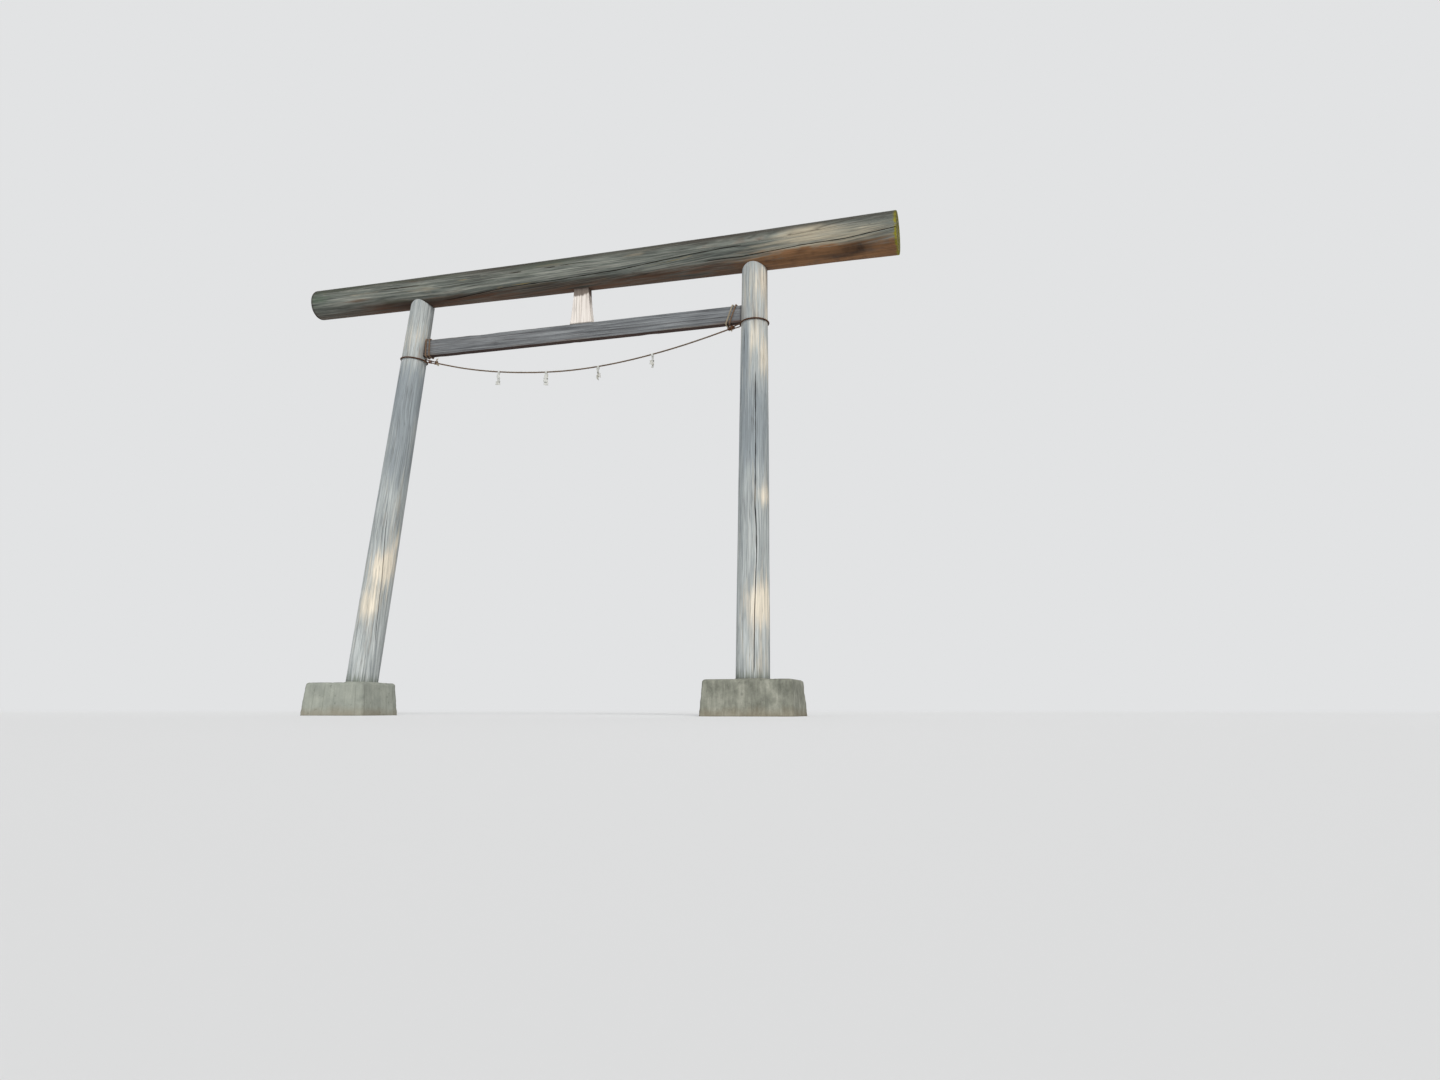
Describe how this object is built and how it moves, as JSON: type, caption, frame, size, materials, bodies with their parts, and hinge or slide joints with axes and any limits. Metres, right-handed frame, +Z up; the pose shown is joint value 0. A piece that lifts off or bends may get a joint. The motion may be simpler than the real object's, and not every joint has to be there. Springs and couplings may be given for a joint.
{
  "type": "torii gate",
  "caption": "Plain shrine gate: leaning round posts on concrete plinths carry a tapered log, with a tie beam, a flared strut and a sagging rope hung with folded paper streamers.",
  "frame": {"origin": "on the ground, below the middle of the top beam and midway between the front and back faces of the plinths", "axes": "+X along the top beam towards its thicker butt end, +Y from the front of the gate to its back, +Z up"},
  "size_m": [4.8, 0.48, 3.5409],
  "materials": {
    "beam_timber": "weathered bare log, grey-brown with reddish streaks, moss at the thin end and lichen at the butt",
    "post_timber": "weathered bare log, silver-grey with fine upright grain and drying checks",
    "tie_timber": "weathered sawn timber, grey-brown",
    "strut_timber": "weathered sawn timber, pale",
    "concrete": "rough hand-cast concrete, stained",
    "rope_fibre": "twisted natural-fibre rope, weathered",
    "streamer_paper": "matt white paper, folded and a little crumpled"
  },
  "bodies": {
    "root": {"left_plinth": "concrete", "right_plinth": "concrete", "left_post": "post_timber", "right_post": "post_timber", "top_beam": "beam_timber", "tie_beam": "tie_timber", "strut": "strut_timber", "left_post_ring": "rope_fibre", "right_post_ring": "rope_fibre", "left_beam_loop_1": "rope_fibre", "left_beam_loop_2": "rope_fibre", "right_beam_loop_1": "rope_fibre", "right_beam_loop_2": "rope_fibre", "left_knot": "rope_fibre", "right_knot": "rope_fibre", "hanging_rope": "rope_fibre", "streamer_1": "streamer_paper", "streamer_2": "streamer_paper", "streamer_3": "streamer_paper", "streamer_4": "streamer_paper"}
  },
  "joints": []
}
